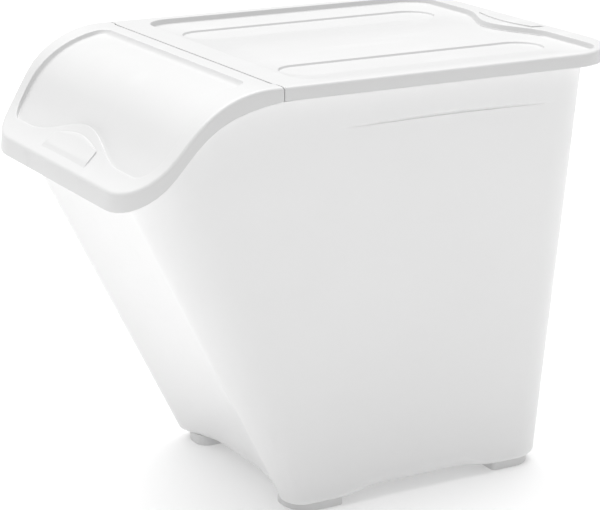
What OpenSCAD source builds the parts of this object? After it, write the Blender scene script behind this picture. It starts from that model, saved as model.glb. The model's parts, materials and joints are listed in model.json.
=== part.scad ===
/* [Overall] */
// Length over the lids, front lip to rear rim
length = 484; // [460:1:520]
// Width over the lid skirts
width = 331; // [326:1:345]
// Height from the floor to the top of the lid
height = 400; // [390:1:430]

/* [Bin] */
// Half the width of the bin at the floor
foot_half = 116.5; // [114:0.5:118]
// Half the width of the bin at lid height
rim_half = 155.5; // [155:0.5:156]
// Rear wall at the floor
rear_low = 200; // [198:1:204]
// Rear wall at lid height
rear_high = 217; // [214:1:219]
// Front wall at the floor
front_low = -68; // [-70:1:-66]
// Front wall carried up to lid height
front_high = -268.8; // [-270:0.2:-266]
// Wall thickness of the bin
bin_wall = 2.2; // [1.8:0.1:2.4]
// Underside of the bin above the floor
bottom_z = 8; // [7:0.5:9]
// Rounding between the bin's floor and its walls above the feet
bottom_round = 5.5; // [5:0.25:6]
// Rounding of the front wall into the floor, midway between the feet
front_curl = 12; // [10:0.5:14]
// Depth of the hollow across the front wall, at the floor
front_dish = 14.5; // [11:0.5:15]
// Rounding of the side and rear walls into the floor, midway between the feet
side_curl = 20; // [16:1:22]

/* [Lids] */
// Thickness of the lid skins
skin = 1.8; // [1.6:0.1:2]
// Skirt height of the rear lid
skirt = 11.6; // [11:0.1:12]
// Extra skirt height on the sloping flap
flap_skirt_extra = 3.4; // [3:0.1:4]
// Depth of the recess in the rear lid
recess_depth = 5.3; // [4.5:0.1:5.5]
// Depth of the two stacking grooves below the recess
groove_depth = 2; // [1.5:0.1:2.2]
// Depth of the recessed panel in the flap
panel_depth = 4.2; // [3.5:0.1:4.5]
// Height of the raised thumb pads
pad_height = 1.3; // [1:0.1:1.5]

/* [Flap hinge] */
// Radius of the two hinge pins
pin_r = 1.6; // [1.5:0.05:1.7]
// Radial clearance of a pin in its bore
pin_clearance = 0.06; // [0.04:0.01:0.09]
// Depth of the hinge axis below the lid top
hinge_depth = 3.6; // [3.6:0.05:3.8]
// Opening angle used to draw the flap, 0 is shut
flap_angle = 0; // [0:1:110]

/* [Feet] */
// Width of each foot
foot_wide = 42; // [40:0.5:43]
// Length of each foot along the bin
foot_long = 49; // [46:0.5:50]
// Outer face of a foot from the centre line
foot_out = 112.5; // [111.5:0.5:112.5]

/* [Hidden] */

half_w = width / 2;
half_l = length / 2;
seam_y = -113;
hinge_y = seam_y - 4.2;
hinge_z = height - hinge_depth;
far = 400;

// Height below every part of the flap, from which its cutters rise
cut_low = 200;

// The flap's side profile: a convex arc, a short straight slope, then a concave arc
slope = 54;
crest_r = 93;
crest_y = -121;
hollow_r = 116;
slope_run = 10;
hollow_end = 20;
crest_end_y = crest_y - crest_r * sin(slope);
crest_end_z = height - crest_r * (1 - cos(slope));
hollow_y = crest_end_y - slope_run - hollow_r * sin(slope);
hollow_z = crest_end_z - slope_run * tan(slope) + hollow_r * cos(slope);

// Plan corners of the lids
front_round = 60;
rear_round = 62;
corner_steps = 10;
gap = 0.4;
open_limit = 110;

// Rim flange of the bin, seen as a thin bead under the skirts
flange_inset = 2.4;
flange_thick = 2.2;
flange_show = 1;

// Inner seat rib of the rear lid, which stands on the flange
seat_inset = 5;
seat_gap = 0.05;

// Recess and grooves of the rear lid
recess_half = 152.8;
recess_front = -85;
recess_rear = 222;
recess_round = 28;
wave_depth = 21.5;
wave_half = 68;
groove_in = 66;
groove_out = 113;
groove_front = -71;
groove_rear = 196;

// Recessed panel of the flap
panel_half = 146;
panel_rear_half = 137;
panel_rear = -128;
panel_front = -223;
panel_wave = 14.7;
panel_wave_half = 80;
panel_round = 28;
panel_rear_round = 13;

// Thumb pads
pad_half = 42;
pad_base_half = 45;
pad_side = 13.8;
pad_rise = 19.1;
pad_front_base = -233.6;
pad_rear_base = 233.6;

// Hinge brackets of the rear lid and ribs of the flap
bracket_in = 142.5;
bracket_out = 146.5;
rib_in = 147;
rib_out = 149.5;
ear_in = 151.5;
roll_r = 5.5;
ear_r = 6.9;

// Rest ribs under the flap's front lip
rest_x = 75;
rest_thick = 3;
rest_long = 9;

// Feet: a pad rounded like the bin's corner and a plug that presses into the bin's floor
foot_front = -66.5;
foot_rear = 193.5;
foot_corner = 24;
foot_end_corner = 12;
foot_back_corner = 4;
foot_reach = 4;
plug_r = 8;
plug_wall = 2;
plug_top = 6;

// ---- outlines ----

function arc(cx, cy, r, a0, a1, n) =
    [for (i = [0 : n]) let (a = a0 + (a1 - a0) * i / n) [cx + r * cos(a), cy + r * sin(a)]];

// Rounded rectangle between y0 and y1 with its own front and rear corner radii
function slab(hw, y0, y1, rf, rr, n = corner_steps) = concat(
    arc(hw - rr, y1 - rr, rr, 0, 90, n),
    arc(-hw + rr, y1 - rr, rr, 90, 180, n),
    arc(-hw + rf, y0 + rf, rf, 180, 270, n),
    arc(hw - rf, y0 + rf, rf, 270, 360, n));

// Smooth hump of 1 at x = 0 that fades to 0 at half
function hump(x, half) = abs(x) < half ? (1 + cos(180 * x / half)) / 2 : 0;

// Points of the flap profile, at depth d below the outer surface
function profile(d) = concat(
    [[crest_y + 60, height - d]],
    [for (i = [0 : 12]) let (a = slope * i / 12)
        [crest_y - (crest_r - d) * sin(a), height - crest_r + (crest_r - d) * cos(a)]],
    [for (i = [0 : 8]) let (a = slope + (hollow_end - slope) * i / 8)
        [hollow_y + (hollow_r + d) * sin(a), hollow_z - (hollow_r + d) * cos(a)]]);

// Skirt height at a place along the length
function skirt_at(y) = skirt + flap_skirt_extra * min(1, max(0, (seam_y + 4 - y) / 26));

// The profile dropped straight down, by the skirt height and a further amount
function dropped(extra) = [for (p = profile(0)) [p[0], p[1] - skirt_at(p[0]) - extra]];

function reverse(list) = [for (i = [len(list) - 1 : -1 : 0]) list[i]];

// Side view polygon of everything under a profile
function under(points) = concat(points, [[-far, points[len(points) - 1][1]], [-far, -10], [far, -10],
    [far, points[0][1]]]);

// ---- building blocks ----

// Extrudes a side view, given as [y, z] points, along X
module across(points, half) {
    rotate([90, 0, 90]) linear_extrude(height = 2 * half, center = true) polygon(points);
}

// Extrudes a plan outline between two heights
module plan(points, z0, z1) {
    translate([0, 0, z0]) linear_extrude(height = z1 - z0) polygon(points);
}

// Round bar along X through the hinge axis
module hinge_bar(r, x0, x1, fn = 48) {
    translate([x0, hinge_y, hinge_z]) rotate([0, 90, 0]) cylinder(r = r, h = x1 - x0, $fn = fn);
}

// ---- bin ----

function along(a, b, z) = a + (b - a) * z / height;

// Corner radii of the bin at height z
function front_corner(z) = along(18, 56, z);
function rear_corner(z) = along(30, 45, z);

// Height to which the bin's form is carried before the lids' profile trims it
form_top = height + 20;

// Points along the straight front and rear runs (-1 to 1) and side runs (0 to 1) of the bin's outline
across_steps = [-0.9, -0.78, -0.66, -0.54, -0.42, -0.2, 0.2, 0.42, 0.54, 0.66, 0.78, 0.9];
side_steps = [0.13, 0.19, 0.25, 0.31, 0.52, 0.73, 0.79, 0.85, 0.91];

// Outline of the bin at height z: corners moved inwards by corner_in, runs between them by run_in;
// the front run is hollow, most of all at the floor
function bin_outline(z, corner_in, run_in) =
    let (dish = front_dish * (form_top - z) / form_top, hw = along(foot_half, rim_half, z), y0 = along(front_low, front_high, z),
        y1 = along(rear_low, rear_high, z), rf = front_corner(z), rr = rear_corner(z),
        cf = rf - corner_in, cr = rr - corner_in)
    concat(arc(hw - rr, y1 - rr, cr, 0, 90, 8),
        [for (t = reverse(across_steps)) [t * (hw - rr), y1 - run_in]],
        arc(-hw + rr, y1 - rr, cr, 90, 180, 8),
        [for (t = reverse(side_steps)) [-hw + run_in, y0 + rf + t * (y1 - rr - y0 - rf)]],
        arc(-hw + rf, y0 + rf, cf, 180, 270, 8),
        [for (t = across_steps) [t * (hw - rf), y0 + run_in + dish * (1 - pow(abs(t), 3))]],
        arc(hw - rf, y0 + rf, cf, 270, 360, 8),
        [for (t = side_steps) [hw - run_in, y0 + rf + t * (y1 - rr - y0 - rf)]]);

// Half width of the front run at the floor
front_run = along(foot_half, rim_half, bottom_z) - front_corner(bottom_z) + 0.01;

// Smooth change from 1 at distance full to 0 at distance none
function fade(distance, full, none) =
    let (t = min(1, max(0, (none - distance) / (none - full)))) t * t * (3 - 2 * t);

// Radius between wall and floor at a point of the outline: small at the feet, large between them
function curl(p) = p[1] < foot_front + front_dish && abs(p[0]) < front_run
    ? bottom_round + (front_curl - bottom_round) * fade(abs(p[0]), 50, 90)
    : p[1] > foot_rear ? bottom_round + (side_curl - bottom_round) * fade(abs(p[0]), 36, 84)
    : bottom_round + (side_curl - bottom_round)
        * fade(abs(p[1] - (foot_front + foot_rear) / 2), 40, 85);

// Solid of the bin's shape: wall is 0 for the outside and the wall thickness for the inside
module bin_form(wall) {
    base = bottom_z + wall;
    turns = [0, 20, 38, 54, 68, 80, 90];
    curls = [for (p = bin_outline(bottom_z, 0, 0)) curl(p)];
    count = len(curls);
    lower = [for (a = turns) each [for (i = [0 : count - 1])
        let (r = curls[i] - wall, z = base + r * (1 - cos(a)), p =
            bin_outline(z, wall + (bottom_round - wall) * (1 - sin(a)), wall + r * (1 - sin(a)))[i])
        [p[0], p[1], z]]];
    upper = [for (p = bin_outline(form_top, wall, wall)) [p[0], p[1], form_top]];
    last = len(turns);
    sides = [for (k = [0 : last - 1]) each [for (i = [0 : count - 1])
        let (j = (i + 1) % count, a = k * count, b = a + count)
        each [[a + i, b + i, b + j], [a + i, b + j, a + j]]]];
    hub = (last + 1) * count;
    bottom = [for (i = [0 : count - 1]) [hub, i, (i + 1) % count]];
    top = [for (i = [0 : count - 1]) [hub + 1, last * count + (i + 1) % count, last * count + i]];
    polyhedron(points = concat(lower, upper, [[0, 60, base], [0, 0, form_top]]),
        faces = concat(sides, bottom, top));
}

module rim_band() {
    low = dropped(flange_show);
    high = dropped(flange_show - flange_thick);
    intersection() {
        plan(slab(half_w - flange_inset, -half_l + flange_inset, half_l - flange_inset,
            front_round - flange_inset, rear_round - flange_inset), cut_low, height);
        across(concat([[far, high[0][1]]], high, reverse(low), [[far, low[0][1]]]), half_w);
    }
}

module foot_sockets(r) {
    for (sx = [-1, 1], y = [foot_front + foot_long / 2, foot_rear - foot_long / 2])
        translate([sx * (foot_out - foot_wide / 2), y, 0])
            cylinder(r = r, h = bottom_z + bin_wall + 1, $fn = 48);
}

module bin_body() {
    color([0.93, 0.94, 0.95, 0.85])
    difference() {
        union() {
            intersection() {
                bin_form(0);
                across(under(dropped(flange_show - flange_thick)), half_w);
            }
            rim_band();
        }
        bin_form(bin_wall);
        foot_sockets(plug_r);
    }
}

// ---- rear lid ----

function lid_outline(inset) = slab(half_w - inset, -half_l + inset, half_l - inset,
    front_round - inset, rear_round - inset);

// Recess outline with its rear edge waving forward round the thumb pad
function recess_outline(grow) = concat(
    arc(recess_half - recess_round, recess_front + recess_round, recess_round + grow, 270, 360, 8),
    arc(recess_half - recess_round, recess_rear - recess_round, recess_round + grow, 0, 90, 8),
    [for (i = [0 : 16]) let (x = wave_half * (1 - i / 8))
        [x, recess_rear + grow - wave_depth * hump(x, wave_half)]],
    arc(-recess_half + recess_round, recess_rear - recess_round, recess_round + grow, 90, 180, 8),
    arc(-recess_half + recess_round, recess_front + recess_round, recess_round + grow, 180, 270, 8));

// One stacking groove, a long slot with round ends
module groove(side, grow, z0, z1) {
    r = (groove_out - groove_in) / 2;
    x = side * (groove_in + groove_out) / 2;
    translate([x, 0, z0]) linear_extrude(height = z1 - z0) {
        for (y = [groove_front + r, groove_rear - r]) translate([0, y]) circle(r = r + grow, $fn = 48);
        translate([-r - grow, groove_front + r])
            square([2 * (r + grow), groove_rear - groove_front - 2 * r]);
    }
}

// D-shaped thumb pad drawn at y = 0 with its arc towards -Y
module pad_shape() {
    polygon(concat([[pad_base_half, 0]],
        [for (i = [0 : 16]) let (x = pad_half * (1 - i / 8))
            [x, -pad_side - (pad_rise - pad_side) * cos(90 * x / pad_half)]],
        [[-pad_base_half, 0]]));
}

// J-shaped bracket that reaches the hinge axis from below, with its pin
module hinge_bracket() {
    hook = [[-pin_r, 0], [1, -1.2], [-0.4, -6.2], [7, -6.2], [7, hinge_depth - skin / 2],
        [10, hinge_depth - skin / 2], [10, -9], [-3.6, -9], [-3.4, -6]];
    translate([bracket_in, hinge_y, hinge_z]) rotate([90, 0, 90])
        linear_extrude(height = bracket_out - bracket_in) polygon(hook);
    hinge_bar(pin_r, bracket_in, rib_out);
}

module lid_shell() {
    top_skin = height - skin;
    pan_z = height - recess_depth;
    difference() {
        plan(lid_outline(0), height - skirt, height);
        difference() {
            plan(lid_outline(skin), 0, top_skin);
            plan(recess_outline(skin), pan_z - skin, height);
            for (s = [-1, 1]) groove(s, skin, pan_z - skin - groove_depth, height);
        }
        plan(recess_outline(0), pan_z, height + 1);
        for (s = [-1, 1]) groove(s, 0, pan_z - groove_depth, pan_z + 1);
    }
}

// Rib round the underside of the lid, standing on the bin's rim
module seat_rib() {
    difference() {
        plan(lid_outline(seat_inset), height - skirt + flange_thick - flange_show + seat_gap,
            height - skin / 2);
        plan(lid_outline(seat_inset + skin), 0, height);
    }
}

// Space that the flap sweeps through, cut from the front of the lid
module hinge_relief() {
    hinge_bar(roll_r + gap, -half_w, half_w, 96);
    for (x = [-half_w - 1, ear_in - gap]) {
        hinge_bar(ear_r + gap, x, x + half_w - ear_in + gap + 1, 96);
        translate([x, -far, 0]) cube([half_w - ear_in + gap + 1, far + hinge_y + ear_r + gap, hinge_z]);
    }
    translate([-half_w - 1, -far, 0]) cube([width + 2, far + hinge_y, height + 1]);
    translate([-half_w - 1, hinge_y, hinge_z]) rotate([-open_limit - 2, 0, 0])
        translate([0, -far / 10, 0]) cube([width + 2, far / 10, hinge_depth + gap]);
}

module rear_lid() {
    color([0.96, 0.96, 0.96])
    union() {
        difference() {
            union() {
                lid_shell();
                seat_rib();
            }
            hinge_relief();
        }
        for (m = [0, 1]) mirror([m, 0, 0]) hinge_bracket();
        translate([0, pad_rear_base, height - skin])
            linear_extrude(height = skin + pad_height) pad_shape();
    }
}

// ---- flap ----

function panel_outline(grow) = concat(
    arc(panel_half - panel_round, panel_front + panel_round, panel_round + grow, 270, 350, 8),
    arc(panel_rear_half - panel_rear_round, panel_rear - panel_rear_round, panel_rear_round + grow,
        -5, 90, 6),
    arc(-panel_rear_half + panel_rear_round, panel_rear - panel_rear_round, panel_rear_round + grow,
        90, 185, 6),
    arc(-panel_half + panel_round, panel_front + panel_round, panel_round + grow, 190, 270, 8),
    [for (i = [0 : 16]) let (x = panel_wave_half * (i / 8 - 1))
        [x, panel_front - grow + panel_wave * hump(x, panel_wave_half)]]);

module flap_shell() {
    difference() {
        intersection() {
            across(concat(profile(0), reverse(dropped(0))), half_w);
            plan(lid_outline(0), cut_low, height);
        }
        difference() {
            intersection() {
                across(under(profile(skin)), half_w);
                plan(lid_outline(skin), cut_low, height);
            }
            intersection() {
                plan(panel_outline(skin), cut_low, height);
                difference() {
                    across(under(profile(0)), half_w);
                    across(under(profile(panel_depth + skin)), half_w);
                }
            }
        }
        difference() {
            plan(panel_outline(0), cut_low, height + 1);
            across(under(profile(panel_depth)), half_w);
        }
    }
}

// Everything the flap may fill: in front of the axis, and inside its swing circles behind it
module flap_limit() {
    translate([-half_w - 1, -far, 0]) cube([width + 2, far + hinge_y, height + 10]);
    hinge_bar(roll_r, -ear_in, ear_in, 96);
    for (x = [-half_w - 1, ear_in]) {
        hinge_bar(ear_r, x, x + half_w - ear_in + 1, 96);
    }
    for (m = [0, 1]) mirror([m, 0, 0]) translate([half_w - skin, hinge_y - 1, 0])
        cube([skin + 1, ear_r + 1, hinge_z]);
}

module flap_pad() {
    intersection() {
        translate([0, 0, cut_low]) linear_extrude(height = height - cut_low)
            translate([0, pad_front_base]) mirror([0, 1, 0]) pad_shape();
        difference() {
            across(under(profile(-pad_height)), half_w);
            across(under(profile(skin / 2)), half_w);
        }
    }
}

module rest_ribs() {
    intersection() {
        for (x = [-rest_x, rest_x]) translate([x - rest_thick / 2, -half_l + skin / 2, cut_low])
            cube([rest_thick, rest_long, height - cut_low]);
        difference() {
            across(under(profile(skin / 2)), half_w);
            across(under(dropped(flange_show - flange_thick - seat_gap)), half_w);
        }
    }
}

module front_flap() {
    color([0.95, 0.95, 0.95])
    translate([0, hinge_y, hinge_z]) rotate([-flap_angle, 0, 0]) translate([0, -hinge_y, -hinge_z])
    difference() {
        union() {
            intersection() {
                flap_shell();
                flap_limit();
            }
            flap_pad();
            rest_ribs();
            for (m = [0, 1]) mirror([m, 0, 0]) hinge_bar(hinge_depth - 0.1, rib_in, rib_out);
        }
        hinge_bar(pin_r + pin_clearance, rib_in - 1, rib_out + 1);
        mirror([1, 0, 0]) hinge_bar(pin_r + pin_clearance, rib_in - 1, rib_out + 1);
    }
}

// ---- feet ----

// Front right foot about its own centre: the outer front corner is the largest
foot_outline = let (hw = foot_wide / 2, hl = foot_long / 2) concat(
    arc(hw - foot_back_corner, hl - foot_back_corner, foot_back_corner, 0, 90, 4),
    arc(-hw + foot_back_corner, hl - foot_back_corner, foot_back_corner, 90, 180, 4),
    arc(-hw + foot_end_corner, -hl + foot_end_corner, foot_end_corner, 180, 270, 6),
    arc(hw - foot_corner, -hl + foot_corner, foot_corner, 270, 360, 10));

// A foot fills the space up to the bin's floor; side is 1 at the right, end is -1 at the front
module foot(side, end) {
    y = end < 0 ? foot_front + foot_long / 2 : foot_rear - foot_long / 2;
    color([0.72, 0.73, 0.74])
    union() {
        difference() {
            translate([side * (foot_out - foot_wide / 2), y, 0]) linear_extrude(height = bottom_z + foot_reach)
                scale([side, -end]) polygon(foot_outline);
            bin_form(0);
        }
        translate([side * (foot_out - foot_wide / 2), y, 0]) difference() {
            translate([0, 0, 1]) cylinder(r = plug_r, h = bottom_z + plug_top - 1, $fn = 48);
            translate([0, 0, bottom_z + 1]) cylinder(r = plug_r - plug_wall, h = plug_top, $fn = 48);
        }
    }
}

bin_body();
rear_lid();
front_flap();
foot(-1, -1);  // foot_front_left
foot(1, -1);  // foot_front_right
foot(-1, 1);  // foot_rear_left
foot(1, 1);  // foot_rear_right
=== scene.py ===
import json
import math

import bpy
from mathutils import Matrix, Vector


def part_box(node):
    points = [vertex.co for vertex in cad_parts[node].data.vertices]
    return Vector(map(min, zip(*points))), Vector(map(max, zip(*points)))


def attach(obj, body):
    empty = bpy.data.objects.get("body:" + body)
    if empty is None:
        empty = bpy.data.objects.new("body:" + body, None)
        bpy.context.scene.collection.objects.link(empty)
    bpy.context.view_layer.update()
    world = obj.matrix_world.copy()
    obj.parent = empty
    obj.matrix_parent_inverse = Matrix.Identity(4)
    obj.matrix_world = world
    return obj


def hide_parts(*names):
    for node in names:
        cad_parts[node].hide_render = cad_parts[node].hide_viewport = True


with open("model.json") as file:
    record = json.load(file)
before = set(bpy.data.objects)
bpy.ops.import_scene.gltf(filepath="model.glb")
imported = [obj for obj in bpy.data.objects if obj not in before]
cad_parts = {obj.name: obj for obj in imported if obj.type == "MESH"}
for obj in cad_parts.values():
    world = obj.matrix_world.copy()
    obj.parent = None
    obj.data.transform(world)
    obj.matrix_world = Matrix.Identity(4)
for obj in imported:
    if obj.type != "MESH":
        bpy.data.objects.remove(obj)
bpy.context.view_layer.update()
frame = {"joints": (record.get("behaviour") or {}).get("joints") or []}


# ---- Studio ----
# A wide pale floor under soft, even daylight. Most light falls from above and from the front left,
# so the right side of the object is the shaded one, as in a plain catalogue set.

def clear_selection():
    bpy.ops.object.select_all(action="DESELECT")


clear_selection()
bpy.ops.mesh.primitive_plane_add(size=24)
floor = bpy.context.object
floor.name = "studio_floor"

floor_paint = bpy.data.materials.new("pale floor paint")
floor_paint.use_nodes = True
nodes, links = floor_paint.node_tree.nodes, floor_paint.node_tree.links
shader = nodes["Principled BSDF"]
shader.inputs["Roughness"].default_value = 0.9
shader.inputs["Specular IOR Level"].default_value = 0.1
place = nodes.new("ShaderNodeTexCoord")
cloud = nodes.new("ShaderNodeTexNoise")
cloud.inputs["Scale"].default_value = 1.2
tone = nodes.new("ShaderNodeValToRGB")
tone.color_ramp.elements[0].color = (0.63, 0.63, 0.63, 1)
tone.color_ramp.elements[1].color = (0.66, 0.66, 0.66, 1)
shader.inputs["Emission Color"].default_value = (1, 1, 1, 1)
shader.inputs["Emission Strength"].default_value = 0.3
links.new(place.outputs["Object"], cloud.inputs["Vector"])
links.new(cloud.outputs["Fac"], tone.inputs["Fac"])
links.new(tone.outputs["Color"], shader.inputs["Base Color"])
floor.data.materials.append(floor_paint)

world = bpy.data.worlds.new("soft daylight")
bpy.context.scene.world = world
world.use_nodes = True
world.node_tree.nodes["Background"].inputs["Color"].default_value = (1, 1, 1, 1)
world.node_tree.nodes["Background"].inputs["Strength"].default_value = 0.58

sky = bpy.data.lights.new("overhead softbox", "SUN")
sky.energy = 3.4
sky.angle = math.radians(70)
sky_lamp = bpy.data.objects.new("overhead_softbox", sky)
bpy.context.scene.collection.objects.link(sky_lamp)
sky_lamp.rotation_euler = Vector((0.25, 0.02, -1)).to_track_quat("-Z", "Y").to_euler()

front_light = bpy.data.lights.new("front softbox", "SUN")
front_light.energy = 0.1
front_light.angle = math.radians(60)
front_lamp = bpy.data.objects.new("front_softbox", front_light)
bpy.context.scene.collection.objects.link(front_lamp)
front_lamp.rotation_euler = Vector((0.35, 1, -0.35)).to_track_quat("-Z", "Y").to_euler()

bpy.context.scene.view_settings.view_transform = "Standard"


# ---- Camera ----
# A long lens at a low three-quarter view from the front right, with a very slight roll.

view_side = math.radians(60.11)
view_up = math.radians(16.59)
view_roll = math.radians(0.425)
view_distance = 1.9358
view_aim = Vector((0.0062, -0.0034, 0.2031))

back = Vector((math.sin(view_side) * math.cos(view_up), -math.cos(view_side) * math.cos(view_up),
               math.sin(view_up)))
right = Vector((math.cos(view_side), math.sin(view_side), 0))
upward = back.cross(right)
turned_right = right * math.cos(view_roll) + upward * math.sin(view_roll)
turned_up = upward * math.cos(view_roll) - right * math.sin(view_roll)
camera_data = bpy.data.cameras.new("camera")
camera_data.lens = 127.27
camera_data.sensor_width = 36
camera = bpy.data.objects.new("camera", camera_data)
bpy.context.scene.collection.objects.link(camera)
axes = Matrix((turned_right, turned_up, back)).transposed().to_4x4()
camera.matrix_world = Matrix.Translation(view_aim + back * view_distance) @ axes
bpy.context.scene.camera = camera


# ---- Bin ----
# The bin is one thin injection moulding in natural, milky polypropylene. Its walls taper to a small
# base, the front wall leans out under the flap, and a rim flange all round carries the two lids.

lid_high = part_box("front_flap")[1].z
half_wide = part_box("rear_lid")[1].x
lip_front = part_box("front_flap")[0].y
rim_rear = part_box("rear_lid")[1].y
lid_front_round, lid_rear_round = 0.060, 0.062
side_skirt = 0.0116
hinge_y, hinge_z = next(j for j in frame["joints"] if j["name"] == "flap_hinge")["pos_m"][1:]

slope = math.radians(54)
crest_r = 0.093
crest_y = hinge_y - 0.0038
crest_end_y = crest_y - crest_r * math.sin(slope)
crest_end_z = lid_high - crest_r * (1 - math.cos(slope))
hollow_r = 0.116
hollow_run = 0.010
hollow_y = crest_end_y - hollow_run - hollow_r * math.sin(slope)
hollow_z = crest_end_z - hollow_run * math.tan(slope) + hollow_r * math.cos(slope)


def lid_top(y):
    """Height of the lids' outer surface at a place along the bin, and how steeply it falls there."""
    if y >= crest_y:
        return lid_high, 0.0
    if y >= crest_end_y:
        angle = math.asin((crest_y - y) / crest_r)
        return lid_high - crest_r * (1 - math.cos(angle)), angle
    if y >= crest_end_y - hollow_run:
        return crest_end_z - (crest_end_y - y) * math.tan(slope), slope
    angle = math.asin((y - hollow_y) / hollow_r)
    return hollow_z - hollow_r * math.cos(angle), angle


def skirt_height(y):
    return side_skirt + 0.0034 * min(1, max(0, (hinge_y + 0.0082 - y) / 0.026))


def choose(piece, kind, test):
    """Selects only the vertices, edges or faces of a piece that pass a test, ready for edit mode."""
    mesh = piece.data
    bpy.context.tool_settings.mesh_select_mode = (kind == "vertices", kind == "edges", kind == "polygons")
    for group in (mesh.vertices, mesh.edges, mesh.polygons):
        group.foreach_set("select", [False] * len(group))
    for element in getattr(mesh, kind):
        element.select = test(element)


def steps(count):
    return [2 * i / count - 1 for i in range(count + 1)]


def plan_ring(half, front, rear, r_front, r_rear, rear_steps, front_steps, corner=12, side=26):
    """Corner-rounded outline from above, always with the same number of points in the same order."""
    ring = [(t * (half - r_rear), rear) for t in rear_steps]
    for i in range(1, corner):
        turn = math.pi / 2 * (1 - i / corner)
        ring.append((half - r_rear + r_rear * math.cos(turn), rear - r_rear + r_rear * math.sin(turn)))
    for i in range(side + 1):
        ring.append((half, rear - r_rear + (front + r_front - rear + r_rear) * i / side))
    for i in range(1, corner):
        turn = -math.pi / 2 * i / corner
        ring.append((half - r_front + r_front * math.cos(turn), front + r_front + r_front * math.sin(turn)))
    ring += [(-t * (half - r_front), front) for t in front_steps]
    turned = [(-x, y) for x, y in ring[len(rear_steps):len(rear_steps) + 2 * corner + side - 1]]
    return ring + turned[::-1]


def loft(name, rings):
    """A grid with a row for each ring, bent so that each row lies on its ring, and closed round."""
    count = len(rings[0])
    clear_selection()
    bpy.ops.mesh.primitive_grid_add(x_subdivisions=count, y_subdivisions=len(rings) - 1)
    piece = bpy.context.object
    piece.name = name
    flat = [c for ring in rings for p in ring + ring[:1] for c in p]
    piece.data.vertices.foreach_set("co", flat)
    bpy.ops.object.mode_set(mode="EDIT")
    bpy.ops.mesh.select_all(action="SELECT")
    bpy.ops.mesh.remove_doubles(threshold=0.000002)
    bpy.ops.mesh.normals_make_consistent(inside=False)
    bpy.ops.object.mode_set(mode="OBJECT")
    return piece


def thicken(piece, wall, even=True):
    solid = piece.modifiers.new("wall", "SOLIDIFY")
    solid.thickness = wall
    solid.offset = -1
    solid.use_even_offset = even
    bpy.context.view_layer.objects.active = piece
    bpy.ops.object.modifier_apply(modifier=solid.name)


def smooth(piece, degrees):
    clear_selection()
    piece.select_set(True)
    bpy.context.view_layer.objects.active = piece
    bpy.ops.object.shade_smooth_by_angle(angle=math.radians(degrees))


bin_wall = 0.0022
bin_base = 0.008
bin_round = 0.0055
front_curl = 0.012
front_dish = 0.0145
form_top = lid_high + 0.02
side_curl = 0.020
rim_drop = 0.0013
flange_inset = 0.0010
ledge_low, ledge_high = -0.036, 0.158
ledge_depth = 0.0010
ledge_z = 0.3566


def along(low, high, z):
    return low + (high - low) * z / lid_high


def bin_plan(z, corner_in, run_in):
    """The bin's outline at one height, its corners and its straight runs moved inwards separately."""
    half, front, rear = along(0.1165, 0.1555, z), along(-0.068, -0.2688, z), along(0.200, 0.217, z)
    r_front, r_rear = along(0.018, 0.056, z), along(0.030, 0.045, z)
    placed = plan_ring(half, front, rear, r_front, r_rear, steps(40), steps(60))
    ring = []
    for x, y in placed:
        if abs(x) > half - 1e-7:
            ring.append((x - math.copysign(run_in, x), y))
        elif y < front + 1e-7:
            dish = front_dish * (form_top - z) / form_top * (1 - abs(x / (half - r_front)) ** 3)
            ring.append((x, y + run_in + dish))
        elif y > rear - 1e-7:
            ring.append((x, y - run_in))
        else:
            radius = r_front if y < 0 else r_rear
            centre = Vector((math.copysign(half - radius, x), front + radius if y < 0 else rear - radius))
            spot = centre + (Vector((x, y)) - centre) * (radius - corner_in) / radius
            ring.append((spot.x, spot.y))
    return ring


def curl_radius(x, y):
    """Radius between wall and floor: small above the feet, large midway between them."""
    def fade(distance, full, none):
        share = min(1, max(0, (none - distance) / (none - full)))
        return share * share * (3 - 2 * share)
    if y < -0.050 and abs(x) < 0.098:
        return bin_round + (front_curl - bin_round) * fade(abs(x), 0.050, 0.090)
    if y > 0.1935:
        return bin_round + (side_curl - bin_round) * fade(abs(x), 0.036, 0.084)
    return bin_round + (side_curl - bin_round) * fade(abs(y - 0.0635), 0.040, 0.085)


curls = [curl_radius(x, y) for x, y in bin_plan(bin_base, 0, 0)]
rings = []
for step in range(15):
    bend = math.pi / 2 * step / 14
    rings.append([])
    for i, radius in enumerate(curls):
        z = bin_base + radius * (1 - math.cos(bend))
        shift = 1 - math.sin(bend)
        rings[-1].append((*bin_plan(z, bin_round * shift, radius * shift)[i], z))
floor_y = 0.06
floor_rings = [[(x * share, floor_y + (y - floor_y) * share, bin_base) for x, y, _ in rings[0]]
               for share in (0.02, 0.3, 0.6, 0.85, 0.97)]
rings = floor_rings + rings

column_low = rings[-1]
column_high = bin_plan(lid_high, 0, 0)
top_at = []
for low, high in zip(column_low, column_high):
    share_low, share_high = 0.0, 1.0
    for step in range(40):
        share = (share_low + share_high) / 2
        y = low[1] + (high[1] - low[1]) * share
        z = low[2] + (lid_high - low[2]) * share
        if z < lid_top(y)[0] - skirt_height(y) - rim_drop:
            share_low = share
        else:
            share_high = share
    top_at.append(low[2] + (lid_high - low[2]) * share_low)

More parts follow.
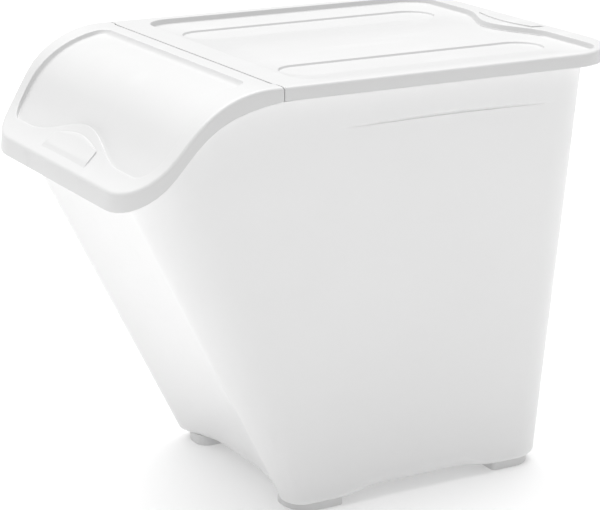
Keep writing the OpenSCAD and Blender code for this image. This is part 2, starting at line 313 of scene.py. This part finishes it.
levels = [0.06 * i for i in range(1, 15)] + [0.895, 0.95]
groove_rows = [("below", -0.0009), ("below", -0.0002), ("in", -0.0003), ("in", 0), ("in", 0.0003),
               ("above", 0.0002), ("above", 0.0009)]
for level in levels[:-1] + groove_rows + levels[-1:] + [1]:
    ring = []
    for i, (low, high) in enumerate(zip(column_low, column_high)):
        sink = 0
        if level not in groove_rows:
            z = low[2] + (top_at[i] - 0.002 - low[2]) * level
        elif top_at[i] < 0.380:
            z = low[2] + (top_at[i] - 0.002 - low[2]) * (0.9 + 0.005 * groove_rows.index(level))
        else:
            at_y = low[1] + 0.9 * (high[1] - low[1])
            length = min(1, max(0, (at_y - ledge_low) / (ledge_high - ledge_low)))
            bow = math.sin(math.pi * length)
            wide = 0.0006 + 0.0008 * bow
            z = ledge_z + 0.0018 * bow
            if level[0] == "in":
                z += wide * (level[1] / 0.0003) * 0.75
                sink = ledge_depth * math.sqrt(bow) if abs(low[0]) > 0.112 else 0
            else:
                z += level[1] + (wide if level[0] == "above" else -wide)
        share = (z - low[2]) / (lid_high - low[2])
        x = low[0] + (high[0] - low[0]) * share
        y = low[1] + (high[1] - low[1]) * share
        x -= math.copysign(sink, x)
        ring.append((x, y, z))
    rings.append(ring)

wall_top = rings[-1]
flange = plan_ring(half_wide - flange_inset, lip_front + flange_inset, rim_rear - flange_inset,
                   lid_front_round - flange_inset, lid_rear_round - flange_inset, steps(40), steps(60))
for share in (0.04, 0.1, 0.25, 0.5, 0.75, 1):
    ring = []
    for (x0, y0, _), (x1, y1) in zip(wall_top, flange):
        x, y = x0 + (x1 - x0) * share, y0 + (y1 - y0) * share
        fillet = 0.002 * max(0, 1 - share / 0.1) ** 2
        ring.append((x, y, lid_top(y)[0] - skirt_height(y) - rim_drop - fillet))
    rings.append(ring)
rings.append([(x, y, z + 0.0010) for x, y, z in rings[-1]])

bin_shell = loft("bin_shell", rings)
choose(bin_shell, "vertices",
       lambda v: abs(v.co.x) < 0.003 and abs(v.co.y - floor_y) < 0.004 and v.co.z < 0.02)
bpy.ops.object.mode_set(mode="EDIT")
bpy.ops.mesh.edge_face_add()
bpy.ops.mesh.select_all(action="SELECT")
bpy.ops.mesh.normals_make_consistent(inside=False)
bpy.ops.object.mode_set(mode="OBJECT")
thicken(bin_shell, bin_wall)
smooth(bin_shell, 32)
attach(bin_shell, "bin")
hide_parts("bin_body")


def moulded_detail():
    """Shader group for moulded plastic: cloudy tone, fine grain, and faint rubbed marks."""
    group = bpy.data.node_groups.new("moulded detail", "ShaderNodeTree")
    for label, kind, value in (("Vector", "NodeSocketVector", None), ("Grain Scale", "NodeSocketFloat", 900),
                               ("Cloud Scale", "NodeSocketFloat", 9), ("Rub Scale", "NodeSocketFloat", 60)):
        socket = group.interface.new_socket(name=label, in_out="INPUT", socket_type=kind)
        if value is not None:
            socket.default_value = value
    for label in ("Cloud", "Grain", "Rub"):
        group.interface.new_socket(name=label, in_out="OUTPUT", socket_type="NodeSocketFloat")
    nodes, links = group.nodes, group.links
    given = nodes.new("NodeGroupInput")
    result = nodes.new("NodeGroupOutput")
    for label, scale, detail in (("Cloud", "Cloud Scale", 3), ("Grain", "Grain Scale", 2)):
        noise = nodes.new("ShaderNodeTexNoise")
        noise.inputs["Detail"].default_value = detail
        links.new(given.outputs["Vector"], noise.inputs["Vector"])
        links.new(given.outputs[scale], noise.inputs["Scale"])
        links.new(noise.outputs["Fac"], result.inputs[label])
    stretch = nodes.new("ShaderNodeMapping")
    stretch.inputs["Scale"].default_value = (1, 0.15, 1)
    stretch.inputs["Rotation"].default_value = (0.3, 0.5, 0.7)
    marks = nodes.new("ShaderNodeTexNoise")
    marks.inputs["Detail"].default_value = 5
    rub = nodes.new("ShaderNodeMapRange")
    rub.inputs["From Min"].default_value = 0.58
    rub.inputs["From Max"].default_value = 0.72
    links.new(given.outputs["Vector"], stretch.inputs["Vector"])
    links.new(stretch.outputs["Vector"], marks.inputs["Vector"])
    links.new(given.outputs["Rub Scale"], marks.inputs["Scale"])
    links.new(marks.outputs["Fac"], rub.inputs["Value"])
    links.new(rub.outputs["Result"], result.inputs["Rub"])
    return group


detail_group = moulded_detail()


def plastic(name, dark, light, rough_low, rough_high, grain_height, cloud_scale):
    """A moulded plastic between two close tones, with its roughness and bump from the shared detail."""
    material = bpy.data.materials.new(name)
    material.use_nodes = True
    nodes, links = material.node_tree.nodes, material.node_tree.links
    shader = nodes["Principled BSDF"]
    place = nodes.new("ShaderNodeTexCoord")
    detail = nodes.new("ShaderNodeGroup")
    detail.node_tree = detail_group
    detail.inputs["Cloud Scale"].default_value = cloud_scale
    links.new(place.outputs["Object"], detail.inputs["Vector"])
    tone = nodes.new("ShaderNodeMix")
    tone.data_type = "RGBA"
    tone.inputs["A"].default_value = (*dark, 1)
    tone.inputs["B"].default_value = (*light, 1)
    links.new(detail.outputs["Cloud"], tone.inputs["Factor"])
    links.new(tone.outputs["Result"], shader.inputs["Base Color"])
    rough = nodes.new("ShaderNodeMapRange")
    rough.inputs["To Min"].default_value = rough_low
    rough.inputs["To Max"].default_value = rough_high
    links.new(detail.outputs["Rub"], rough.inputs["Value"])
    links.new(rough.outputs["Result"], shader.inputs["Roughness"])
    bump = nodes.new("ShaderNodeBump")
    bump.inputs["Distance"].default_value = grain_height
    bump.inputs["Strength"].default_value = 0.4
    links.new(detail.outputs["Grain"], bump.inputs["Height"])
    links.new(bump.outputs["Normal"], shader.inputs["Normal"])
    return material


milky = plastic("milky polypropylene", (0.80, 0.80, 0.80), (0.83, 0.83, 0.83), 0.36, 0.48, 0.00008, 6)
milky_shader = milky.node_tree.nodes["Principled BSDF"]
milky_shader.inputs["Subsurface Weight"].default_value = 0.5
milky_shader.inputs["Subsurface Radius"].default_value = (0.03, 0.03, 0.03)
milky_shader.inputs["Subsurface Scale"].default_value = 0.2
bin_shell.data.materials.append(milky)


# ---- Feet ----
# Four square pads with round corners, coloured a darker grey than the bin. Each has a plug on top that
# presses into a hole in the bin's floor. One is modelled and the others are copies of it.

foot_grey = plastic("grey foot plastic", (0.66, 0.66, 0.66), (0.72, 0.72, 0.72), 0.5, 0.62, 0.0001, 40)
foot_low, foot_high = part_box("foot_front_right")
foot_top = bin_base + 0.002
clear_selection()
bpy.ops.mesh.primitive_cube_add(size=1, location=((foot_low.x + foot_high.x) / 2,
                                                  (foot_low.y + foot_high.y) / 2, foot_top / 2))
foot = bpy.context.object
foot.scale = (foot_high.x - foot_low.x, foot_high.y - foot_low.y, foot_top)
bpy.ops.object.transform_apply(location=True, rotation=True, scale=True)
for at_x, at_y, radius in ((foot_high.x, foot_low.y, 0.024), (foot_low.x, foot_low.y, 0.012),
                           (foot_low.x, foot_high.y, 0.004), (foot_high.x, foot_high.y, 0.004)):
    spots = [v.co.copy() for v in foot.data.vertices]
    choose(foot, "edges", lambda e: all(abs(spots[v].x - at_x) + abs(spots[v].y - at_y) < 0.0001
                                        for v in e.vertices))
    bpy.ops.object.mode_set(mode="EDIT")
    bpy.ops.mesh.bevel(offset=radius, segments=12, profile=0.5)
    bpy.ops.object.mode_set(mode="OBJECT")
choose(foot, "polygons", lambda f: f.normal.z < -0.9)
bpy.ops.object.mode_set(mode="EDIT")
bpy.ops.mesh.inset(thickness=0.0025, depth=0)
bpy.ops.mesh.inset(thickness=0.0008, depth=-0.0008)
bpy.ops.object.mode_set(mode="OBJECT")
rounding = foot.modifiers.new("rounding", "BEVEL")
rounding.width = 0.0006
rounding.segments = 3
rounding.angle_limit = math.radians(50)
bpy.ops.object.modifier_apply(modifier=rounding.name)

foot_middle = (foot_low + foot_high) / 2
clear_selection()
bpy.ops.mesh.primitive_cylinder_add(vertices=48, radius=0.008, depth=0.005,
                                    location=(foot_middle.x, foot_middle.y, 0.0115))
plug = bpy.context.object
choose(plug, "polygons", lambda f: f.normal.z > 0.9)
bpy.ops.object.mode_set(mode="EDIT")
bpy.ops.mesh.inset(thickness=0.0006, depth=0.0004)
bpy.ops.mesh.inset(thickness=0.0014, depth=0)
bpy.ops.mesh.inset(thickness=0.0004, depth=-0.0032)
bpy.ops.object.mode_set(mode="OBJECT")
bpy.ops.object.transform_apply(location=True, rotation=True, scale=True)
clear_selection()
plug.select_set(True)
foot.select_set(True)
bpy.context.view_layer.objects.active = foot
bpy.ops.object.join()
foot.data.materials.append(foot_grey)
smooth(foot, 40)

middle_y = 0.0635
for node, turn_x, turn_y in (("foot_front_right", 1, 1), ("foot_front_left", -1, 1),
                             ("foot_rear_right", 1, -1), ("foot_rear_left", -1, -1)):
    pad = foot
    if node != "foot_front_right":
        pad = foot.copy()
        pad.data = foot.data.copy()
        bpy.context.scene.collection.objects.link(pad)
        about = Matrix.Translation((0, middle_y, 0))
        pad.data.transform(about @ Matrix.Diagonal((turn_x, turn_y, 1, 1)) @ about.inverted())
        if turn_x * turn_y < 0:
            pad.data.flip_normals()
    pad.name = node + "_pad"
    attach(pad, "bin")
    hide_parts(node)


# ---- Rear lid ----
# One opaque white moulding that drops over the rim. Its deck has a shallow recess with two long
# grooves, where the feet of a second bin stand, and a raised thumb pad behind a wave in the recess.

lid_skin = 0.0018
rim_round = 0.003
seam_depth = 0.0032
seam_corner = 0.0022
recess_depth = 0.0053
recess_half, recess_front, recess_rear, recess_round = 0.1528, -0.085, 0.222, 0.028
recess_wave, recess_wave_half = 0.0215, 0.068
wave_from_y = 0.22
slot_x, slot_radius = 0.0895, 0.0235
slot_front, slot_rear = -0.0475, 0.1725
ear_inner = 0.1515
lid_circle, lid_ear_circle = 0.0060, 0.0074
deck_steps = [-1, -0.98, -0.95, -0.9215, -0.9115] + [-0.9 + 1.8 * i / 36 for i in range(37)]
deck_steps += [0.9115, 0.9215, 0.95, 0.98, 1]


def hump(x, half):
    return (1 + math.cos(math.pi * x / half)) / 2 if abs(x) < half else 0


def lid_ring(inset, front=hinge_y - 0.02):
    return plan_ring(half_wide - inset, front, rim_rear - inset, seam_corner, lid_rear_round - inset,
                     steps(60), deck_steps)


def lid_seam(x, y, z):
    """Keeps the lid behind the circle that the flap's rear edge swings through."""
    lift = z - hinge_z
    middle = abs(x) < ear_inner - 0.0004
    reach = lid_circle if middle else lid_ear_circle
    limit = math.sqrt(reach ** 2 - lift ** 2) if lift > 0 else reach
    if middle:
        limit = max(limit, (0.0038 + 0.347 * lift) / 0.938)
    return x, max(y, hinge_y + limit), z


def recess_ring(grow):
    ring = plan_ring(recess_half + grow, recess_front - grow, recess_rear + grow, recess_round + grow,
                     recess_round + grow, steps(60), deck_steps)
    return [(x, y - recess_wave * hump(x, recess_wave_half) if y > wave_from_y else y) for x, y in ring]


first_front = 61 + 11 + 27 + 11
seam_columns = range(first_front, first_front + len(deck_steps))


def lid_edge(inset, depth):
    """One row of the rounded edge, where the seam side only turns down a little."""
    share = depth / rim_round
    return [lid_seam(x, y, lid_high - (seam_depth * min(1, share) if i in seam_columns else depth))
            for i, (x, y) in enumerate(lid_ring(inset))]


rings = [lid_edge(0, side_skirt)]
for i in range(7):
    bend = math.pi / 2 * i / 6
    rings.append(lid_edge(rim_round * (1 - math.cos(bend)), rim_round * (1 - math.sin(bend))))
rings.append([(x, y, lid_high) for x, y in lid_ring(0.005, hinge_y + 0.010)])
for grow, depth in ((0.0022, 0), (0.0012, 0), (0.0006, 0.0001), (0.0002, 0.0004), (0, 0.0009),
                    (-0.0011, 0.0040), (-0.0014, 0.0047), (-0.0019, 0.0051), (-0.0027, recess_depth)):
    rings.append([(x, y, lid_high - depth) for x, y in recess_ring(grow)])
lid_shell = loft("rear_lid_shell", rings)

groove_parts = []
for side in (-1, 1):
    outline = []
    for i in range(25):
        turn = math.pi * i / 24
        outline.append((math.cos(turn), math.sin(turn), slot_rear))
    for i in range(25):
        turn = math.pi * (1 + i / 24)
        outline.append((math.cos(turn), math.sin(turn), slot_front))
    rings = []
    for grow, depth in ((0, recess_depth), (-0.0003, 0.0054), (-0.0006, 0.0058), (-0.0010, 0.0068),
                        (-0.0014, 0.0072), (-0.0020, 0.0073), (-0.0100, 0.0073)):
        radius = slot_radius + grow
        rings.append([(side * slot_x + radius * c, y + radius * s, lid_high - depth) for c, s, y in outline])
    groove = loft("groove", rings)
    choose(groove, "vertices", lambda v: Vector((v.co.x - side * slot_x,
                                                 max(0, abs(v.co.y - 0.0625) - 0.110))).length < 0.0145)
    bpy.ops.object.mode_set(mode="EDIT")
    bpy.ops.mesh.edge_face_add()
    bpy.ops.object.mode_set(mode="OBJECT")
    groove_parts.append(groove)

clear_selection()
for part in groove_parts + [lid_shell]:
    part.select_set(True)
bpy.context.view_layer.objects.active = lid_shell
bpy.ops.object.join()
bpy.ops.object.mode_set(mode="EDIT")
bpy.ops.mesh.select_mode(type="EDGE")
bpy.ops.mesh.select_all(action="DESELECT")
bpy.ops.mesh.select_non_manifold()
bpy.ops.object.mode_set(mode="OBJECT")
floor_z = lid_high - recess_depth
for edge in lid_shell.data.edges:
    ends = [lid_shell.data.vertices[v].co for v in edge.vertices]
    if any(abs(p.z - floor_z) > 0.00001 for p in ends):
        edge.select = False
for vertex in lid_shell.data.vertices:
    if abs(vertex.co.z - floor_z) > 0.00001:
        vertex.select = False
bpy.ops.object.mode_set(mode="EDIT")
bpy.ops.mesh.fill(use_beauty=True)
bpy.ops.mesh.select_all(action="SELECT")
bpy.ops.mesh.normals_make_consistent(inside=False)
bpy.ops.object.mode_set(mode="OBJECT")
thicken(lid_shell, lid_skin, even=False)


def keep_under(piece, top):
    """Puts back under the deck the corners of the inner skin that thickening threw above it."""
    for vertex in piece.data.vertices:
        if vertex.co.z > top + 0.00001:
            vertex.co.z = top - 0.0004


keep_under(lid_shell, lid_high)
smooth(lid_shell, 35)
white = plastic("white lid polypropylene", (0.60, 0.60, 0.60), (0.625, 0.625, 0.625), 0.36, 0.48, 0.00006, 14)
lid_shell.data.materials.append(white)
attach(lid_shell, "lid")
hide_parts("rear_lid")


# ---- Seat rib ----
# A low wall moulded round the underside of the rear lid, just inside its skirt. It stands on the
# bin's rim flange and keeps the lid level.

seat_inset = 0.005
seat_front = hinge_y + 0.0087
seat_round = lid_rear_round - seat_inset
seat_low = lid_high - 0.0103
seat_high = lid_high - 0.0012
seat_half = half_wide - seat_inset
seat_rear = rim_rear - seat_inset
seat_path = [(seat_half, seat_front)]
for i in range(25):
    turn = math.pi / 2 * i / 24
    seat_path.append((seat_half - seat_round + seat_round * math.cos(turn),
                      seat_rear - seat_round + seat_round * math.sin(turn)))
seat_path += [(-x, y) for x, y in seat_path[::-1]]
clear_selection()
bpy.ops.mesh.primitive_grid_add(x_subdivisions=len(seat_path) - 1, y_subdivisions=1)
seat_rib = bpy.context.object
seat_rib.name = "rear_lid_seat_rib"
seat_rib.data.vertices.foreach_set("co", [c for z in (seat_low, seat_high) for x, y in seat_path
                                          for c in (x, y, z)])
thicken(seat_rib, lid_skin)
smooth(seat_rib, 35)
seat_rib.data.materials.append(white)
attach(seat_rib, "lid")


# ---- Hinge brackets ----
# Two J-shaped hooks moulded under the rear lid reach the hinge axis from below. Each carries a
# short round pin, and the flap snaps over the two pins.

bracket_in, bracket_out = 0.1425, 0.1465
pin_end = 0.1495
pin_radius = 0.0016
hook = [(-1.6, 0), (1, -1.2), (-0.4, -6.2), (7, -6.2), (7, 2.7), (10, 2.7), (10, -9), (-3.6, -9), (-3.4, -6)]
clear_selection()
bpy.ops.mesh.primitive_circle_add(vertices=len(hook), radius=0.005, fill_type="NGON",
                                  location=(bracket_in, hinge_y, hinge_z))
bracket = bpy.context.object
bracket.data.vertices.foreach_set("co", [c for y, z in hook for c in (0, y / 1000, z / 1000)])
bpy.ops.object.mode_set(mode="EDIT")
bpy.ops.mesh.extrude_region_move(TRANSFORM_OT_translate={"value": (bracket_out - bracket_in, 0, 0)})
bpy.ops.mesh.select_all(action="SELECT")
bpy.ops.mesh.normals_make_consistent(inside=False)
bpy.ops.object.mode_set(mode="OBJECT")
bpy.ops.object.transform_apply(location=True, rotation=True, scale=True)
clear_selection()
bpy.ops.mesh.primitive_cylinder_add(vertices=32, radius=pin_radius, depth=pin_end - bracket_in,
                                    location=((bracket_in + pin_end) / 2, hinge_y, hinge_z),
                                    rotation=(0, math.pi / 2, 0))
bpy.ops.object.transform_apply(location=True, rotation=True, scale=True)
bracket.select_set(True)
bpy.context.view_layer.objects.active = bracket
bpy.ops.object.join()
rounding = bracket.modifiers.new("rounding", "BEVEL")
rounding.width = 0.0003
rounding.segments = 2
rounding.angle_limit = math.radians(40)
bpy.ops.object.modifier_apply(modifier=rounding.name)
smooth(bracket, 40)
bracket.data.materials.append(white)


def mirrored(piece, name):
    """A copy on the left side, with its own mesh."""
    twin = piece.copy()
    twin.data = piece.data.copy()
    bpy.context.scene.collection.objects.link(twin)
    twin.data.transform(Matrix.Diagonal((-1, 1, 1, 1)))
    twin.data.flip_normals()
    twin.name = name
    return twin


bracket.name = "hinge_bracket_right"
for piece in (bracket, mirrored(bracket, "hinge_bracket_left")):
    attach(piece, "lid")


# ---- Front flap ----
# One opaque white moulding hinged to the rear lid. It curves over and down like a sledge to a front
# lip, has a recessed panel with a wave in its front edge, and a raised thumb pad on the lip.

flap_circle, flap_ear_circle = 0.0050, 0.0067
panel_depth = 0.0042
panel_half, panel_rear_half = 0.146, 0.137
panel_front, panel_rear = -0.223, -0.128
panel_wave, panel_wave_half = 0.0152, 0.092


def on_skin(x, y, depth):
    z, fall = lid_top(y)
    return x, y + depth * math.sin(fall), z - depth * math.cos(fall)


def below_skin(x, y, depth):
    """A place straight below a spot on the outer surface, where a skin of that depth passes."""
    start = y
    for _ in range(12):
        start = y - depth * math.sin(lid_top(start)[1])
    return on_skin(x, start, depth)


def flap_ring(inset):
    return plan_ring(half_wide - inset, lip_front + inset, hinge_y + 0.0100, lid_front_round - inset,
                     seam_corner, deck_steps, steps(60))


def flap_seam(x, y, z):
    """Keeps the flap's rear edge inside the circle it swings on."""
    lift = z - hinge_z
    reach = flap_circle if abs(x) < ear_inner else flap_ear_circle
    limit = math.sqrt(reach ** 2 - lift ** 2) if lift > 0 else reach
    return x, min(y, hinge_y + limit), z


def flap_seam_depth(x):
    """The turned-down seam edge is cut back at the hinge brackets, which it would meet when open."""
    if abs(x) < 0.132:
        return seam_depth
    return 0.0010 if abs(x) < ear_inner else lid_skin


def panel_ring(grow):
    rear = panel_rear + (grow if grow > 0 else 2.2 * grow)
    ring = plan_ring(panel_half + grow, panel_front - grow, rear, 0.028 + grow, 0.013 + grow,
                     deck_steps, steps(60))
    shaped = []
    for x, y in ring:
        flare = min(1, max(0, (-0.141 - y) / 0.054))
        wave = panel_wave * hump(x, panel_wave_half) if y < panel_front - grow + 0.00001 else 0
        spread = panel_rear_half + (panel_half - panel_rear_half) * flare
        shaped.append((x * spread / panel_half, y + wave))
    return shaped


def flap_edge(inset, depth):
    """One row of the rounded edge, where the seam side only turns down a little."""
    share = depth / rim_round
    return [flap_seam(*on_skin(x, y, flap_seam_depth(x) * min(1, share) if i < len(deck_steps) else depth))
            for i, (x, y) in enumerate(flap_ring(inset))]


rings = [[flap_seam(x, y, lid_top(y)[0] - (flap_seam_depth(x) if i < len(deck_steps) else skirt_height(y)))
          for i, (x, y) in enumerate(flap_ring(0))]]
for i in range(7):
    bend = math.pi / 2 * i / 6
    rings.append(flap_edge(rim_round * (1 - math.cos(bend)), rim_round * (1 - math.sin(bend))))
outer = plan_ring(half_wide - 0.004, lip_front + 0.004, hinge_y + 0.0032, 0.056, seam_corner,
                  deck_steps, steps(60))
inner = panel_ring(0.0022)
for share in (0, 0.25, 0.5, 0.75):
    rings.append([on_skin(a[0] + (b[0] - a[0]) * share, a[1] + (b[1] - a[1]) * share, 0)
                  for a, b in zip(outer, inner)])
for grow, depth in ((0.0022, 0), (0.0012, 0), (0.0006, 0.0001), (0.0002, 0.0004), (0, 0.0009),
                    (-0.0009, 0.0030), (-0.0013, 0.0037), (-0.0019, 0.0041), (-0.0028, panel_depth)):
    rings.append([below_skin(x, y, depth) for x, y in panel_ring(grow)])
centre_y = -0.172
for share in [1 - i / 22 for i in range(1, 22)] + [0.015]:
    rings.append([below_skin(x * share, centre_y + (y - centre_y) * share, panel_depth)
                  for x, y in panel_ring(-0.0028)])
flap_shell = loft("front_flap_shell", rings)
choose(flap_shell, "vertices",
       lambda v: abs(v.co.x) < 0.0025 and abs(v.co.y - centre_y) < 0.004)
bpy.ops.object.mode_set(mode="EDIT")
bpy.ops.mesh.edge_face_add()
bpy.ops.mesh.select_all(action="SELECT")
bpy.ops.mesh.normals_make_consistent(inside=False)
bpy.ops.object.mode_set(mode="OBJECT")
thicken(flap_shell, lid_skin, even=False)
keep_under(flap_shell, lid_high)
smooth(flap_shell, 35)
flap_shell.data.materials.append(white)
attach(flap_shell, "flap")
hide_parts("front_flap")


# ---- Flap ribs ----
# Moulded under the flap: a round knuckle at each side with the bore for a hinge pin, and two short
# ribs behind the lip that rest on the bin's rim.

knuckle_radius = 0.0035
knuckle_in, knuckle_out = 0.1470, 0.1495
bore_radius = 0.00166
clear_selection()
bpy.ops.mesh.primitive_cylinder_add(vertices=48, radius=knuckle_radius, depth=knuckle_out - knuckle_in,
                                    location=((knuckle_in + knuckle_out) / 2, hinge_y, hinge_z),
                                    rotation=(0, math.pi / 2, 0))
knuckle = bpy.context.object
knuckle.name = "flap_knuckle_right"
choose(knuckle, "polygons", lambda f: abs(f.normal.z) > 0.9)
bpy.ops.object.mode_set(mode="EDIT")
bpy.ops.mesh.inset(thickness=knuckle_radius - bore_radius, depth=0)
bpy.ops.mesh.bridge_edge_loops()
bpy.ops.object.mode_set(mode="OBJECT")
bpy.ops.object.transform_apply(location=True, rotation=True, scale=True)
rounding = knuckle.modifiers.new("rounding", "BEVEL")
rounding.width = 0.0002
rounding.segments = 2
rounding.angle_limit = math.radians(50)
bpy.ops.object.modifier_apply(modifier=rounding.name)
smooth(knuckle, 40)
knuckle.data.materials.append(white)

rest_x = 0.075
rest_thick = 0.003
rest_front, rest_rear = lip_front + 0.0014, lip_front + 0.0099
clear_selection()
bpy.ops.mesh.primitive_cube_add(size=1, location=(rest_x, (rest_front + rest_rear) / 2, lid_high))
rest = bpy.context.object
rest.name = "flap_rest_rib_right"
rest.scale = (rest_thick, rest_rear - rest_front, 0.01)
bpy.ops.object.transform_apply(location=True, rotation=True, scale=True)
bpy.ops.object.mode_set(mode="EDIT")
bpy.ops.mesh.subdivide(number_cuts=3)
bpy.ops.object.mode_set(mode="OBJECT")
for vertex in rest.data.vertices:
    share = (vertex.co.z - lid_high) / 0.01 + 0.5
    top = lid_top(vertex.co.y)[0] - (0.0035 if vertex.co.y < rest_front + 0.001 else 0.0012)
    low = lid_top(vertex.co.y)[0] - skirt_height(vertex.co.y) + 0.0012
    vertex.co.z = low + (top - low) * share
rest.data.materials.append(white)

for piece in (knuckle, mirrored(knuckle, "flap_knuckle_left"), rest, mirrored(rest, "flap_rest_rib_left")):
    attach(piece, "flap")


# ---- Thumb pads ----
# A D-shaped pad stands 1.3 mm proud near the middle of each outer lid edge and runs out flush at its
# base. One is moulded with the rear lid and one with the flap, so that a thumb finds where to lift.

pad_half, pad_base_half = 0.042, 0.045
pad_side = 0.0138
pad_bow = 0.0053
pad_proud = 0.0013


def pad_outline(grow, count=28):
    half, bow = pad_half + grow, pad_bow + grow
    arc = [(half * (1 - 2 * i / count), -pad_side - bow * math.cos(math.pi / 2 * (1 - 2 * i / count)))
           for i in range(count + 1)]
    side = [(pad_base_half + grow + (pad_half - pad_base_half) * i / 6, grow * (1 - i / 6) - pad_side * i / 6)
            for i in range(6)]
    return side + arc + [(-x, y) for x, y in side[::-1]]


def pad_rise(y):
    """Share of the pad's full height: none along its base line, all of it 5 mm further on."""
    share = min(1, max(0, -y / 0.005))
    return share * share * (3 - 2 * share)


def thumb_pad(name, base_y, turn, surface):
    rings = []
    for grow, depth in ((0, 0.0006), (0, -0.0008), (-0.0002, -0.0011), (-0.0006, -pad_proud),
                        (-0.003, -pad_proud)):
        rings.append([surface(x, base_y + turn * y, depth * pad_rise(y) if depth < 0 else depth)
                      for x, y in pad_outline(grow)])
    for share in (0.85, 0.7, 0.55, 0.4, 0.25, 0.06):
        ring = []
        for x, y in pad_outline(-0.003):
            inward = -0.009 + (y + 0.009) * share
            ring.append(surface(x * share, base_y + turn * inward, -pad_proud * pad_rise(inward)))
        rings.append(ring)
    pad = loft(name, rings)
    bpy.ops.object.mode_set(mode="EDIT")
    bpy.ops.mesh.select_mode(type="EDGE")
    bpy.ops.mesh.select_all(action="DESELECT")
    bpy.ops.mesh.select_non_manifold()
    bpy.ops.mesh.edge_face_add()
    bpy.ops.mesh.select_all(action="SELECT")
    bpy.ops.mesh.normals_make_consistent(inside=False)
    bpy.ops.object.mode_set(mode="OBJECT")
    smooth(pad, 40)
    pad.data.materials.append(white)
    return pad


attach(thumb_pad("rear_lid_thumb_pad", 0.2336, 1, lambda x, y, d: (x, y, lid_high - d)), "lid")
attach(thumb_pad("front_flap_thumb_pad", -0.2336, -1, on_skin), "flap")
